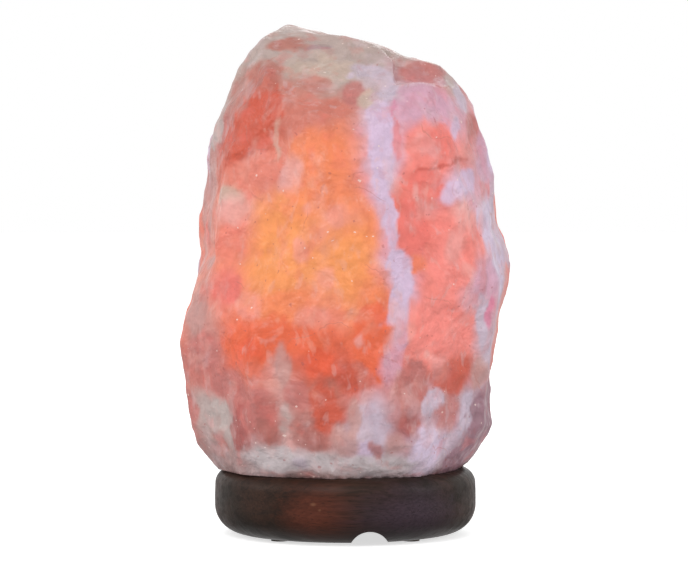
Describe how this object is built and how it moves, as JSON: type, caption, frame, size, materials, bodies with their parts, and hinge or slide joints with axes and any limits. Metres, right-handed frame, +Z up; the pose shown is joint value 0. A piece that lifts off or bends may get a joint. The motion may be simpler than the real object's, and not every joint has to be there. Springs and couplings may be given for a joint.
{
  "type": "salt crystal lamp",
  "caption": "Table lamp of hewn rock salt on a turned wooden base, lit from inside by a small screw bulb in a push-in holder with sprung clips.",
  "frame": {"origin": "on the table, under the centre of the turned base", "axes": "+Z up; the pictured side with the cord notch faces -Y; +X to the right in the picture"},
  "size_m": [0.1501, 0.1336, 0.2327],
  "materials": {
    "salt": "translucent pink to orange rock salt, hewn, softly waxy",
    "stained_wood": "dark brown stained hardwood, turned, satin",
    "zinc_steel": "zinc plated steel",
    "nylon": "grey nylon",
    "felt": "dark felt",
    "black_moulding": "black phenolic moulding",
    "white_ceramic": "unglazed white ceramic",
    "brass": "plain brass",
    "spring_steel": "bright spring steel",
    "bush_rubber": "soft black rubber",
    "clear_glass": "clear thin glass",
    "black_glass": "black vitreous insulator",
    "solder": "dull solder",
    "nickel": "bright nickel plated screw cap",
    "wire": "thin support wire",
    "tungsten": "glowing tungsten coil"
  },
  "bodies": {
    "lamp_body": {"salt_crystal": "salt", "wood_base": "stained_wood", "base_screws": "zinc_steel", "screw_anchors": "nylon", "foot_pad_front_left": "felt", "foot_pad_front_right": "felt", "foot_pad_rear_left": "felt", "foot_pad_rear_right": "felt"},
    "fitting": {"holder_shell": "black_moulding", "holder_insert": "white_ceramic", "screw_shell": "brass", "centre_contact": "brass", "live_terminal": "brass", "neutral_terminal": "brass", "terminal_screws": "brass", "stop_flange": "zinc_steel", "holder_cap": "black_moulding", "cap_screws": "zinc_steel", "cord_bush": "bush_rubber", "clip_collar": "spring_steel", "clip_rivets": "zinc_steel"},
    "clip_left": {"clip_arm_left": "spring_steel"},
    "clip_right": {"clip_arm_right": "spring_steel"},
    "bulb_seat": {"bulb_contact": "solder", "bulb_insulator": "black_glass"},
    "bulb": {"bulb_cap": "nickel", "bulb_glass": "clear_glass", "bulb_stem": "clear_glass", "lead_wires": "wire", "filament_supports": "wire", "filament": "tungsten"}
  },
  "joints": [
    {"name": "fitting_pull", "type": "slide", "parent": "lamp_body", "child": "fitting", "axis": [0, 0, -1], "range_m": [0, 0.12]},
    {"name": "clip_left", "type": "hinge", "parent": "fitting", "child": "clip_left", "pos_m": [-0.0148, 0, 0.0445], "axis": [0, -1, 0], "range_deg": [0, 4], "stiffness_Nm_per_rad": 0.05, "springref_deg": -5.73},
    {"name": "clip_right", "type": "hinge", "parent": "fitting", "child": "clip_right", "pos_m": [0.0148, 0, 0.0445], "axis": [0, 1, 0], "range_deg": [0, 4], "stiffness_Nm_per_rad": 0.05, "springref_deg": -5.73},
    {"name": "bulb_rise", "type": "slide", "parent": "fitting", "child": "bulb_seat", "axis": [0, 0, 1], "range_m": [0, 0.0142]},
    {"name": "bulb_turn", "type": "hinge", "parent": "bulb_seat", "child": "bulb", "pos_m": [0, 0, 0.04], "axis": [0, 0, 1], "range_deg": [0, 1800]}
  ],
  "couplings": [
    {"joint": "bulb_rise", "follows": "bulb_turn", "m_per_rad": 0.00044914}
  ]
}
